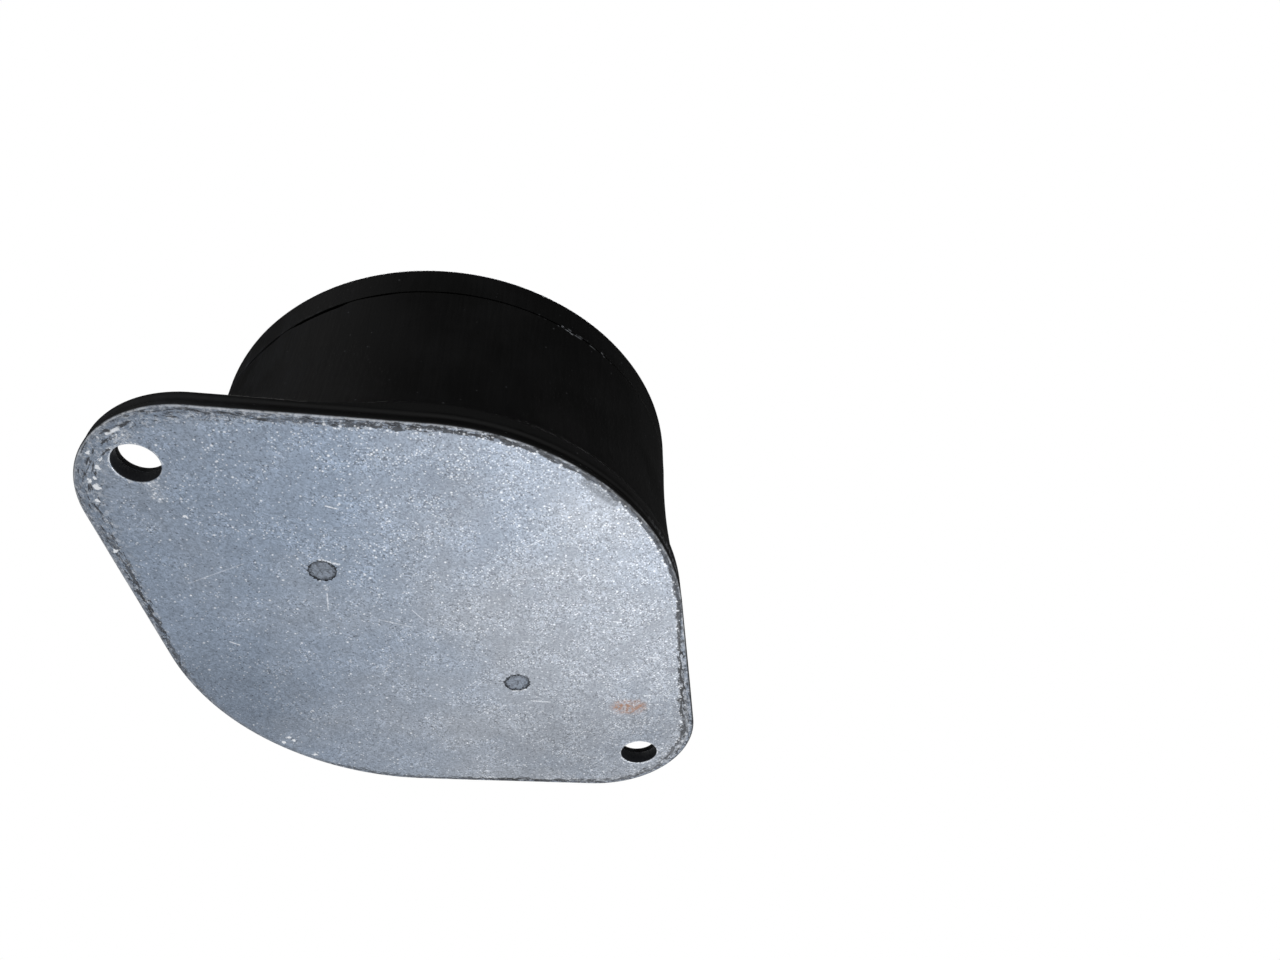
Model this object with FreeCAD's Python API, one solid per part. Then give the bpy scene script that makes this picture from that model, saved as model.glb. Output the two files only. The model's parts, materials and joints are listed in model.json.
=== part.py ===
"""Rubber vibration damper: a waisted rubber drum between a lozenge mounting plate and a studded disc.

The damper stands on the outer face of its mounting plate. The origin is the centre of that face,
+X runs along the two bolt holes, and +Z runs up the axis of the drum to the stud. Millimetres.
"""
import FreeCAD, Part
import math
import os

# Mounting plate
BOLT_SPACING = 165.0          # centre to centre of the two bolt holes
BOLT_HOLE_DIAMETER = 11.0     # clears an M10 bolt
PLATE_THICKNESS = 4.0         # steel only
EAR_RADIUS = 28.0             # of the rounded ends, outside the rubber edge
EAR_SETBACK = 16.5            # the ear's arc is centred this far inside its bolt hole
LOCATING_SPACING = 65.2       # centre to centre of the two small holes that the rubber fills
LOCATING_HOLE_DIAMETER = 7.0

# Rubber skin on the mounting plate
EDGE_SKIN = 1.5               # rubber round the steel's edge
BACK_SKIN = 1.3               # rubber over the steel's back
EDGE_BEVEL = 0.7              # on the outer corner of each of the edge's two lips
EDGE_GROOVE_DEPTH = 0.5       # square-cornered V between the lips

# Rubber drum
BODY_HEIGHT = 72.0            # from the plate's outer face to the disc's outer face
PLATE_LEDGE = 0.9             # the plate's middle arcs stand this far outside the drum's foot
FOOT_DIAMETER = 136.2         # where the side leaves the fillet
WAIST_DIAMETER = 134.6        # narrowest section
WAIST_HEIGHT = 30.0           # of that section above the plate's outer face
FOOT_FILLET = 5.0             # sweeps the drum's side out into the plate's skin
END_FLARE = 0.25              # how far the side has spread at the flash groove
FLASH_GROOVE_DROP = 12.0      # groove below the disc's outer face
FLASH_GROOVE_WIDTH = 0.9
FLASH_GROOVE_DEPTH = 0.5
LIP_FLARE = 0.55              # further spread from the groove to the rim
LIP_ROUND = 1.6               # on the rim round the disc

# Disc and stud
DISC_THICKNESS = 4.0
DISC_SKIN = 4.0               # rubber outside the disc's edge
STUD_DIAMETER = 16.0          # M16
STUD_REACH = 37.0             # beyond the disc's outer face
STUD_CHAMFER = 1.6
NECK_DIAMETER = 13.5          # below the thread, where the stud passes through the disc
NECK_REACH = 1.5              # of the neck beyond the disc's outer face
WELD_RECESS_DIAMETER = 18.0   # countersink round the neck, at the disc's outer face

# Fits, all bonded or welded face to face
BOND_GAP = 0.0

# Derived places
EAR_CENTRE = BOLT_SPACING / 2 - EAR_SETBACK
MIDDLE_RADIUS = FOOT_DIAMETER / 2 + PLATE_LEDGE
PLATE_BACK = PLATE_THICKNESS + BOND_GAP
SKIN_BACK = PLATE_BACK + BACK_SKIN
SKIN_MIDDLE = SKIN_BACK / 2
GROOVE_HEIGHT = BODY_HEIGHT - FLASH_GROOVE_DROP
GROOVE_RADIUS = FOOT_DIAMETER / 2 + END_FLARE
LIP_RADIUS = GROOVE_RADIUS + LIP_FLARE
DISC_RADIUS = LIP_RADIUS - DISC_SKIN
DISC_INNER = BODY_HEIGHT - DISC_THICKNESS
OVERRUN = 1.0                 # cutting tools pass the faces they cut by this much

UP = FreeCAD.Vector(0, 0, 1)


def cylinder(radius, low, high, x=0.0):
    """Upright cylinder between two heights."""
    return Part.makeCylinder(radius, high - low, FreeCAD.Vector(x, 0, low), UP)


def lozenge(inset, low, high):
    """Prism of the plate's outline: a middle circle and two ear circles joined by tangents."""
    middle = MIDDLE_RADIUS - inset
    ear = EAR_RADIUS - inset
    lean = math.asin((middle - ear) / EAR_CENTRE)
    across = math.cos(lean)
    along = math.sin(lean)

    def point(centre, radius, x_sign, y_sign):
        return FreeCAD.Vector(x_sign * (centre + radius * along), y_sign * radius * across, low)

    right_tip = FreeCAD.Vector(EAR_CENTRE + ear, 0, low)
    left_tip = FreeCAD.Vector(-EAR_CENTRE - ear, 0, low)
    top = FreeCAD.Vector(0, middle, low)
    bottom = FreeCAD.Vector(0, -middle, low)
    edges = [
        Part.Arc(point(EAR_CENTRE, ear, 1, -1), right_tip, point(EAR_CENTRE, ear, 1, 1)).toShape(),
        Part.makeLine(point(EAR_CENTRE, ear, 1, 1), point(0, middle, 1, 1)),
        Part.Arc(point(0, middle, 1, 1), top, point(0, middle, -1, 1)).toShape(),
        Part.makeLine(point(0, middle, -1, 1), point(EAR_CENTRE, ear, -1, 1)),
        Part.Arc(point(EAR_CENTRE, ear, -1, 1), left_tip, point(EAR_CENTRE, ear, -1, -1)).toShape(),
        Part.makeLine(point(EAR_CENTRE, ear, -1, -1), point(0, middle, -1, -1)),
        Part.Arc(point(0, middle, -1, -1), bottom, point(0, middle, 1, -1)).toShape(),
        Part.makeLine(point(0, middle, 1, -1), point(EAR_CENTRE, ear, 1, -1)),
    ]
    return Part.Face(Part.Wire(edges)).extrude(UP * (high - low))


def turned(edges):
    """Solid of revolution about the drum's axis from edges in the XZ plane."""
    profile = Part.Face(Part.Wire(edges))
    return profile.revolve(FreeCAD.Vector(0, 0, 0), UP, 360)


def at(radius, height):
    return FreeCAD.Vector(radius, 0, height)


def bolt_holes(low, high):
    """Tools for the two bolt holes."""
    radius = BOLT_HOLE_DIAMETER / 2
    return [cylinder(radius, low, high, side * BOLT_SPACING / 2) for side in (-1, 1)]


def locating_pins(low, high, gap=0.0):
    """The two small round holes on the long axis, or the rubber that fills them."""
    radius = LOCATING_HOLE_DIAMETER / 2 - gap
    return [cylinder(radius, low, high, side * LOCATING_SPACING / 2) for side in (-1, 1)]


def mounting_plate():
    """Flat steel lozenge with two bolt holes and two locating holes."""
    plate = lozenge(EDGE_SKIN + BOND_GAP, 0, PLATE_THICKNESS)
    for tool in bolt_holes(-OVERRUN, PLATE_THICKNESS + OVERRUN):
        plate = plate.cut(tool)
    for tool in locating_pins(-OVERRUN, PLATE_THICKNESS + OVERRUN):
        plate = plate.cut(tool)
    return plate


def flat_rims(solid, height):
    """Edges of a solid that lie in the level plane at one height."""
    return [edge for edge in solid.Edges if edge.BoundBox.ZLength < 1e-6 and abs(edge.BoundBox.ZMin - height) < 1e-6]


def edge_lip(low, high, corner, groove):
    """One of the two lips round the plate's edge, bevelled at its outer corner and towards the groove."""
    lip = lozenge(0, low, high)
    lip = lip.makeChamfer(EDGE_BEVEL, flat_rims(lip, corner))
    return lip.makeChamfer(EDGE_GROOVE_DEPTH, flat_rims(lip, groove))


def plate_skin():
    """Rubber round the plate's edge and over its back: two lips with a V groove between them."""
    face_lip = edge_lip(0, SKIN_MIDDLE, 0, SKIN_MIDDLE)
    back_lip = edge_lip(SKIN_MIDDLE, SKIN_BACK, SKIN_BACK, SKIN_MIDDLE)
    return face_lip.fuse(back_lip)


def drum_foot():
    """Concave sweep from the drum's side to the skin, trimmed where it meets the plate's edge."""
    foot = FOOT_DIAMETER / 2
    low = SKIN_BACK - EDGE_BEVEL
    top = SKIN_BACK + FOOT_FILLET
    spread = foot + FOOT_FILLET
    arc_middle = FOOT_FILLET * (1 - math.sqrt(0.5))
    edges = [
        Part.makeLine(at(0, low), at(spread, low)),
        Part.makeLine(at(spread, low), at(spread, SKIN_BACK)),
        Part.Arc(at(spread, SKIN_BACK), at(foot + arc_middle, SKIN_BACK + arc_middle), at(foot, top)).toShape(),
        Part.makeLine(at(foot, top), at(0, top)),
        Part.makeLine(at(0, top), at(0, low)),
    ]
    return turned(edges).common(lozenge(0, low, top))


def drum():
    """Waisted side, flash groove and rounded rim, turned about the axis."""
    foot = FOOT_DIAMETER / 2
    low = SKIN_BACK + FOOT_FILLET
    groove_low = GROOVE_HEIGHT - FLASH_GROOVE_WIDTH / 2
    groove_high = GROOVE_HEIGHT + FLASH_GROOVE_WIDTH / 2
    rim_low = BODY_HEIGHT - LIP_ROUND
    rim_middle = LIP_ROUND * (1 - math.sqrt(0.5))
    rim_top = LIP_RADIUS - LIP_ROUND
    edges = [
        Part.makeLine(at(0, low), at(foot, low)),
        Part.Arc(at(foot, low), at(WAIST_DIAMETER / 2, WAIST_HEIGHT), at(GROOVE_RADIUS, groove_low)).toShape(),
        Part.makeLine(at(GROOVE_RADIUS, groove_low), at(GROOVE_RADIUS - FLASH_GROOVE_DEPTH, GROOVE_HEIGHT)),
        Part.makeLine(at(GROOVE_RADIUS - FLASH_GROOVE_DEPTH, GROOVE_HEIGHT), at(GROOVE_RADIUS, groove_high)),
        Part.makeLine(at(GROOVE_RADIUS, groove_high), at(LIP_RADIUS, rim_low)),
        Part.Arc(
            at(LIP_RADIUS, rim_low),
            at(LIP_RADIUS - rim_middle, BODY_HEIGHT - rim_middle),
            at(rim_top, BODY_HEIGHT),
        ).toShape(),
        Part.makeLine(at(rim_top, BODY_HEIGHT), at(0, BODY_HEIGHT)),
        Part.makeLine(at(0, BODY_HEIGHT), at(0, low)),
    ]
    return turned(edges)


def rubber_body():
    """One moulding: drum, foot, skin on the plate and the rubber in the locating holes."""
    body = plate_skin().fuse([drum_foot(), drum()])
    body = body.cut(lozenge(EDGE_SKIN, -OVERRUN, PLATE_BACK))
    body = body.cut(cylinder(DISC_RADIUS + BOND_GAP, DISC_INNER - BOND_GAP, BODY_HEIGHT + OVERRUN))
    for tool in bolt_holes(-OVERRUN, SKIN_BACK + OVERRUN):
        body = body.cut(tool)
    body = body.fuse(locating_pins(0, PLATE_BACK, BOND_GAP))
    return body.removeSplitter()


def stud_disc():
    """Round steel disc bonded into the drum's far end, countersunk round the stud's neck."""
    neck_hole = NECK_DIAMETER / 2 + BOND_GAP
    recess = WELD_RECESS_DIAMETER / 2
    recess_depth = recess - neck_hole
    disc = cylinder(DISC_RADIUS, DISC_INNER, BODY_HEIGHT)
    disc = disc.cut(cylinder(neck_hole, DISC_INNER - OVERRUN, BODY_HEIGHT + OVERRUN))
    bottom = at(0, BODY_HEIGHT - recess_depth)
    return disc.cut(Part.makeCone(neck_hole, recess + OVERRUN, recess_depth + OVERRUN, bottom, UP))


def stud():
    """Threaded stud with a chamfered end, on a plain neck that is welded into the disc."""
    tip = BODY_HEIGHT + STUD_REACH
    rod = cylinder(STUD_DIAMETER / 2, BODY_HEIGHT + NECK_REACH, tip)
    end = [edge for edge in rod.Edges if edge.BoundBox.ZMin > tip - 1e-6]
    neck = cylinder(NECK_DIAMETER / 2, DISC_INNER, BODY_HEIGHT + NECK_REACH)
    return rod.makeChamfer(STUD_CHAMFER, end).fuse(neck)


PIECES = {
    "mounting_plate": mounting_plate,
    "rubber_body": rubber_body,
    "stud_disc": stud_disc,
    "stud": stud,
}


def main():
    os.makedirs("parts", exist_ok=True)
    for name, build in PIECES.items():
        shape = build()
        shape.exportStep("parts/%s.step" % name)
        box = shape.BoundBox
        print(name, "solids", len(shape.Solids), "valid", shape.isValid(), "volume", round(shape.Volume, 1))
        print("  from", [round(v, 2) for v in (box.XMin, box.YMin, box.ZMin)])
        print("  to", [round(v, 2) for v in (box.XMax, box.YMax, box.ZMax)])


main()
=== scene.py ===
"""The looks of a rubber vibration damper: a waisted rubber drum moulded to a lozenge plate, with a stud."""

import json
import math

import bmesh
import bpy
from bpy.props import FloatProperty, FloatVectorProperty, IntProperty, PointerProperty
from mathutils import Matrix, Vector, noise


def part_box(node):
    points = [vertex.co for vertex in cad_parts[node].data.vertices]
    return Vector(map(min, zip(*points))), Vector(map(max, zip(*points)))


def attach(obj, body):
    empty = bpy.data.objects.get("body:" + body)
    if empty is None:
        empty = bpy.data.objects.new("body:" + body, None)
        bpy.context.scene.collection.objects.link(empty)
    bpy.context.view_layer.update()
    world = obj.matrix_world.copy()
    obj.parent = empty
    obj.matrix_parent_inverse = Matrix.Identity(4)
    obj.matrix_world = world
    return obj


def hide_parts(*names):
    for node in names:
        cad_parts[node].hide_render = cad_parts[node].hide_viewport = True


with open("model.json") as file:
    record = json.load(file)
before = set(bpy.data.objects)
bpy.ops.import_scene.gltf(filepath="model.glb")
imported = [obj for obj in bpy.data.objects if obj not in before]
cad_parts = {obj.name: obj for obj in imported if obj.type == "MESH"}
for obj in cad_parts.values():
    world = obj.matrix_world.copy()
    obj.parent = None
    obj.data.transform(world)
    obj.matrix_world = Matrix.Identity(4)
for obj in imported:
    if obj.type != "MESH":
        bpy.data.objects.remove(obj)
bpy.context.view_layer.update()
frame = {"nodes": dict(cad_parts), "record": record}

bl_info = {
    "name": "Rubber vibration damper",
    "version": (1, 0, 0),
    "blender": (4, 5, 0),
    "location": "View3D > Sidebar > Damper",
    "description": "Builds a vibration damper's plate, moulding, disc and stud in a plain studio",
    "category": "Object",
}

MM = 0.001
MOUNTS = {mount["name"]: mount for mount in frame["record"]["mounts"]}
PLATE_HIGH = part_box("mounting_plate")[1]
BODY_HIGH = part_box("rubber_body")[1]
DISC_LOW, DISC_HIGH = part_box("stud_disc")
STUD_LOW, STUD_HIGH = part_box("stud")
BOLT_X = MOUNTS["plate_bolts"]["dims"]["spacing_x_mm"] / 2 * MM
BOLT_RADIUS = MOUNTS["plate_bolts"]["dims"]["hole_r_mm"] * MM
THREAD_RADIUS = MOUNTS["stud"]["dims"]["r_mm"] * MM
THREAD_START = MOUNTS["stud"]["pos_m"][2]
PLATE_BACK = PLATE_HIGH.z
EDGE_SKIN = round(BODY_HIGH.x - PLATE_HIGH.x, 5)
MIDDLE_RADIUS = BODY_HIGH.y
TURN = 2 * math.pi
QUARTER = TURN / 4
EAR_RADIUS = 28
WELD_DISTANCE = 1e-7
# Half the height of the groove at the mould's seam
HALF_SEAM = 0.34 * MM
# Distance from the axis, in millimetres, at which the marks on the drum's side are laid out
DRUM_REACH = 67.5
# The way the drum's darkest side faces. Its dust film thins almost away there, painted shade that keeps that
# side dark, and thickens away from it
PAINTED_SHADE_SIDE = (math.cos(math.radians(-85)), math.sin(math.radians(-85)), 0.0)
# Where reflections find the surround paler, and where the lamp under the plate stands, both as directions
LIT_SIDE = (-0.75, -0.61, 0.25)
UNDER_LAMP = (0.43, 0.078, -0.90)
# Where the camera stands, in millimetres, and the directions that are right and down in its picture
CAMERA_PLACE = (-113.22, -172.73, -181.70)
PICTURE_RIGHT = (0.68903, -0.72246, -0.05738)
PICTURE_DOWN = (0.53051, 0.55674, -0.63922)

# Marks on the plate's face, in millimetres from its centre: start, end, half width and brightness
SCRATCHES = {
    "long_left": ((-54, 26), (-48, 11), 0.17, 0.50),
    "short_upper": ((-44.6, -18.4), (-42.0, -19.6), 0.30, 1.0),
    "centre": ((-11.5, 5.0), (-3.4, 1.5), 0.19, 0.75),
    "centre_upper": ((-7.5, -3.7), (-2.8, -2.8), 0.18, 0.65),
    "right_upper": ((-1.0, -41.0), (0.2, -46.0), 0.22, 0.70),
    "below_left_plug": ((-27.0, 6.0), (-23.2, 10.8), 0.26, 0.80),
    "long_low": ((34.5, 17.0), (38.0, 7.5), 0.17, 0.55),
    "beside_right_plug": ((41.0, 3.4), (45.4, 0.2), 0.28, 0.85),
    "left_low": ((-34.8, 38.3), (-32.2, 37.7), 0.30, 1.00),
    "middle_dash": ((22.0, -14.0), (24.2, -15.6), 0.30, 0.70),
    "right_dash": ((34.6, -36.4), (36.2, -37.6), 0.34, 0.80),
    "rust_dash": ((43.8, -14.8), (44.9, -15.8), 0.34, 0.85),
    "rust_dash_right": ((47.2, -17.9), (48.0, -18.5), 0.34, 0.80),
    "right_flake": ((52.3, -32.7), (54.4, -34.5), 0.55, 0.60),
    "chain_dash": ((63.6, -20.2), (65.0, -21.4), 0.30, 0.85),
    "left_plug_rim": ((-35.4, -2.6), (-31.0, -4.6), 0.55, 0.90),
    "right_plug_rim": ((34.2, 3.5), (36.3, 0.6), 0.50, 0.90),
}
# Powdery white patches: place and reach in millimetres
POWDER = {
    "beside_left_hole": ((-76.4, 3.6), 2.6),
    "below_left_hole": ((-73.9, 5.4), 2.4),
    "over_left_hole": ((-88.0, -4.6), 3.6),
    "left_plug_foot": ((-28.4, 4.2), 1.4),
    "low_edge_right": ((10.4, 65.0), 1.6),
}
# White chips: place and radius in millimetres
CHIPS = {
    "tip_a": ((-88.0, 6.7), 0.75),
    "tip_b": ((-88.6, 4.0), 0.60),
    "tip_c": ((-87.2, 11.6), 0.75),
    "tip_d": ((-85.3, 12.1), 0.85),
    "tip_e": ((-91.7, 4.1), 0.50),
    "tip_f": ((-86.9, 10.0), 0.50),
    "tip_g": ((-83.1, 15.9), 0.45),
    "left_edge": ((-72.5, 28.0), 0.70),
    "below_left_hole": ((-66.4, 7.0), 0.60),
    "low_edge_a": ((0.0, 63.5), 0.75),
    "low_edge_b": ((1.9, 63.7), 0.50),
    "low_edge_c": ((0.2, 66.4), 0.65),
    "low_edge_d": ((10.4, 65.2), 0.60),
}
# Draw marks down the drum's side: degrees round it, lowest and highest point and half width in millimetres
DRAW_MARKS = (
    (8, 21, 47, 0.55), (13, 26, 50, 0.35), (31, 18, 52, 0.45), (37, 15, 33, 0.30), (58, 30, 55, 0.50),
    (96, 17, 44, 0.50), (101, 22, 49, 0.35), (137, 28, 54, 0.45), (-24, 19, 50, 0.50), (-31, 24, 41, 0.35),
)
# Thin slanting scuffs on the drum's side: degrees and height at one end, then at the other
SCUFFS = (
    (3, 46, 24, 54), (17, 33, 22, 38), (46, 20, 40, 26), (74, 48, 84, 52), (112, 30, 120, 37),
    (-8, 40, -3, 52),
)
SCUFF_HALF_WIDTH = 0.22
# A pale nick at the seam, given as the scuffs are, with its half width
NICK = (-101.5, 60.2, -98.6, 59.2, 0.55)
# Where the mould's seam gapes: degrees from and to round the drum, and how much wider in millimetres
GAPES = ((175, 191.5, 1.15), (192, 209.5, 1.15), (210, 221, 0.3))
# Where the seam sags: degrees from, at the lowest point and to, and how far in millimetres
SEAM_SAG = (125, 182, 222, 1.2)
# Broad areas of the steel painted darker and paler to follow how light falls across the plate, painted shade
# and painted highlight: place, reach in millimetres and brightness
BROAD_PAINTED_LIGHT = {
    "low_left": ((-20, 58), 34, 0.80),
    "upper_middle": ((-28, -44), 16, 0.91),
    "right_tip": ((79, -17), 18, 0.84),
    "low_right": ((67, 12), 36, 0.84),
    "pale_curve": ((0, -59), 12, 1.08),
    "pale_curve_right": ((22, -53), 12, 1.07),
}
# A dark cut at the left tip with a white flake beside it, and a grey smear at the upper edge, each given
# by its two ends and its half width
CUT = ((-94.0, -2.6), (-91.4, -4.4), 0.75)
CUT_FLAKE = ((-91.2, -3.4), (-90.2, -6.3), 0.60)
SMEAR = ((-5.0, -66.2), (4.4, -66.4), 1.9)
# A spot of rust over the right hole: its two ends, and its reach
RUST = ((62.6, -12.2), (65.5, -14.9), 4.4)


def length(label, description, millimetres):
    """A setting that holds a length."""
    return FloatProperty(name=label, description=description, default=millimetres * MM, unit="LENGTH")


def tone(label, description, red_green_blue):
    """A setting that holds a colour."""
    return FloatVectorProperty(
        name=label, description=description, default=red_green_blue, subtype="COLOR", min=0, max=1)


class DamperSizes(bpy.types.PropertyGroup):
    """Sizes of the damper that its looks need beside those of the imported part"""
    ear_radius: length("Ear radius", "Radius of the plate's rounded ends, at the rubber's edge", EAR_RADIUS)
    ear_centre: length(
        "Ear centre", "From the plate's centre to the middle of an ear's arc", BODY_HIGH.x / MM - EAR_RADIUS)
    back_skin: length("Back skin", "Rubber over the back of the plate", 1.3)
    lip_round: length("Lip round", "Rounding of the two lips of the plate's edge", 0.7)
    lip_dip: length("Lip dip", "Depth of the hollow between the two lips", 0.45)
    foot_radius: length("Foot radius", "Radius of the drum where it leaves its sweep into the plate", 68.1)
    foot_sweep: length("Foot sweep", "Radius of the sweep from the drum into the plate", 5)
    waist_radius: length("Waist radius", "Radius of the drum at its narrowest", 67.3)
    waist_height: length("Waist height", "Height of the waist over the plate's face", 30)
    seam_radius: length("Seam radius", "Radius of the drum at the mould's seam", 68.35)
    seam_drop: length("Seam drop", "From the disc's face down to the mould's seam", 12)
    seam_depth: length("Seam depth", "Depth of the groove at the mould's seam", 1.4)
    rim_radius: length("Rim radius", "Radius of the drum's far end", 68.9)
    rim_round: length("Rim round", "Rounding of the drum's far end", 1.6)
    plug_x: length("Plug place", "From the plate's centre to each small hole that the rubber fills", 32.6)
    plug_radius: length("Plug radius", "Radius of those small holes", 3.5)
    thread_pitch: length("Thread pitch", "Pitch of the stud's thread", 2)
    thread_depth: length("Thread depth", "Depth of the stud's thread", 1.2)
    neck_radius: length("Neck radius", "Radius of the stud's plain neck", 6.75)
    tip_chamfer: length("Tip chamfer", "Chamfer of the stud's end", 1.6)
    round_steps: IntProperty(
        name="Steps round", description="Steps round the drum and the plate's edge", default=600, min=60)


class DamperFinish(bpy.types.PropertyGroup):
    """Colours of the damper's finishes"""
    steel: tone("Steel", "Bare steel of the plate and the disc", (0.300, 0.365, 0.468))
    # Warm steel stands for stains, and on the plate also for a painted tint towards its brighter-lit side
    steel_warm: tone("Warm steel", "Greyer, stained areas of the bare steel", (0.362, 0.398, 0.458))
    # Glint is the colour of the painted glints on the steel's grains and of the painted highlight round the
    # bolt holes, and of real bright scratches, chips and powder
    glint: tone("Glint", "Bright grains, scratches and chips", (0.82, 0.86, 0.92))
    residue: tone("Residue", "Dark rubber residue along the steel's edge", (0.016, 0.018, 0.023))
    smear: tone("Smear", "Smooth grey smear at the plate's edge", (0.12, 0.135, 0.155))
    rust: tone("Rust", "Rust beside a bolt hole", (0.40, 0.19, 0.09))
    rubber: tone("Rubber", "Moulded rubber", (0.0042, 0.0042, 0.0043))
    rubber_dust: tone("Rubber dust", "Grey film of dust on the rubber", (0.030, 0.033, 0.039))
    ear_dust: tone("Ear dust", "Gritty dust on the backs of the plate's ears", (0.085, 0.080, 0.074))
    rubbed: tone("Rubbed rubber", "Rubber face that lies flush with the plate's steel", (0.28, 0.325, 0.40))
    stud: tone("Stud", "Dark oily steel of the stud", (0.115, 0.116, 0.120))
    # The crests' colour is partly wear, partly a painted highlight
    crest: tone("Crest", "Worn crests of the stud's thread", (0.46, 0.47, 0.48))


class DamperStage(bpy.types.PropertyGroup):
    """The plain studio round the damper"""
    floor: tone("Floor", "Colour of the floor", (0.86, 0.86, 0.86))
    ambient: FloatProperty(
        name="Ambient", description="Brightness of the pale surround on the damper", default=0.38, min=0)
    lens: FloatProperty(
        name="Lens", description="Focal length of the camera", default=28.03, min=1, unit="CAMERA")


def sizes():
    return bpy.context.scene.damper_sizes


def finish():
    return bpy.context.scene.damper_finish


def stage_settings():
    return bpy.context.scene.damper_stage


def outline_reach(angle, inset):
    """Distance from the plate's centre to its outline, or to the line that far inside it."""
    size = sizes()
    across = abs(math.cos(angle))
    up = abs(math.sin(angle))
    middle = MIDDLE_RADIUS - inset
    ear = size.ear_radius - inset
    lean = math.asin((MIDDLE_RADIUS - size.ear_radius) / size.ear_centre)
    straight = middle / (across * math.sin(lean) + up * math.cos(lean))
    along = straight * (across * math.cos(lean) - up * math.sin(lean))
    if along < 0:
        return middle
    if along > size.ear_centre * math.cos(lean):
        offset = size.ear_centre * up
        return size.ear_centre * across + math.sqrt(ear * ear - offset * offset)
    return straight


def arc(centre_r, centre_z, radius, start, end, count):
    """Points of an arc in the section's plane, as (r, z), with both ends."""
    return [
        (centre_r + radius * math.cos(start + (end - start) * i / (count - 1)),
         centre_z + radius * math.sin(start + (end - start) * i / (count - 1)))
        for i in range(count)
    ]


def arc_through(first, middle, last, count):
    """Points of the arc through three points in the section's plane."""
    (x1, z1), (x2, z2), (x3, z3) = first, middle, last
    double_area = 2 * (x1 * (z2 - z3) + x2 * (z3 - z1) + x3 * (z1 - z2))
    s1, s2, s3 = x1 * x1 + z1 * z1, x2 * x2 + z2 * z2, x3 * x3 + z3 * z3
    cx = (s1 * (z2 - z3) + s2 * (z3 - z1) + s3 * (z1 - z2)) / double_area
    cz = (s1 * (x3 - x2) + s2 * (x1 - x3) + s3 * (x2 - x1)) / double_area
    radius = math.hypot(x1 - cx, z1 - cz)
    side = 1 if x2 > cx else -1
    heights = [z1 + (z3 - z1) * i / (count - 1) for i in range(count)]
    return [(cx + side * math.sqrt(radius * radius - (z - cz) ** 2), z) for z in heights]


def smooth_step(value):
    value = min(1.0, max(0.0, value))
    return value * value * (3 - 2 * value)


def edge_section(angle):
    """The moulding's section from under the plate's edge, round the two lips, to the back of the skin."""
    size = sizes()
    skin_back = PLATE_BACK + size.back_skin
    spare = outline_reach(angle, 0) - size.foot_radius
    corner = max(0.05 * MM, size.lip_round * smooth_step(spare / size.foot_sweep))
    top = max(skin_back, back_height(outline_reach(angle, corner)))
    rounding = size.lip_round
    face_corner = arc(rounding, rounding, rounding, -QUARTER, -2 * QUARTER, 6)
    lip_low = rounding + 0.5 * MM
    lip_high = skin_back - rounding - 0.4 * MM
    hollow = [(size.lip_dip * math.sin(math.pi * i / 8) ** 2, lip_low + (lip_high - lip_low) * i / 8)
              for i in range(9)]
    back_corner = arc(corner, top - corner, corner, 2 * QUARTER, QUARTER, 5)
    under = [(EDGE_SKIN, PLATE_BACK), (EDGE_SKIN, 0), (EDGE_SKIN * 0.75, 0)]
    by_inset = under + face_corner + hollow + back_corner
    return [(outline_reach(angle, inset), z) for inset, z in by_inset]


def back_height(reach):
    """Height of the skin's back, or of the drum's sweep above it, that far from the axis."""
    size = sizes()
    skin_back = PLATE_BACK + size.back_skin
    share = 1 - (reach - size.foot_radius) / size.foot_sweep
    if share <= 0:
        return skin_back
    turn = math.acos(min(1.0, share))
    return skin_back + size.foot_sweep * (1 - math.sin(turn))


def back_section(start_reach, count):
    """From the back of the plate's edge along the skin and up the sweep to the drum's side."""
    size = sizes()
    skin_back = PLATE_BACK + size.back_skin
    flat = max(0.0, start_reach - size.foot_radius - size.foot_sweep)
    share = min(1.0, (start_reach - size.foot_radius) / size.foot_sweep)
    turn = math.acos(max(0.0, 1 - share))
    whole = flat + size.foot_sweep * turn
    points = []
    for i in range(1, count + 1):
        run = whole * i / count
        if run <= flat:
            points.append((start_reach - run, skin_back))
        else:
            left = max(0.0, turn - (run - flat) / size.foot_sweep)
            points.append((size.foot_radius + size.foot_sweep * (1 - math.cos(left)),
                           skin_back + size.foot_sweep * (1 - math.sin(left))))
    return points


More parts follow.
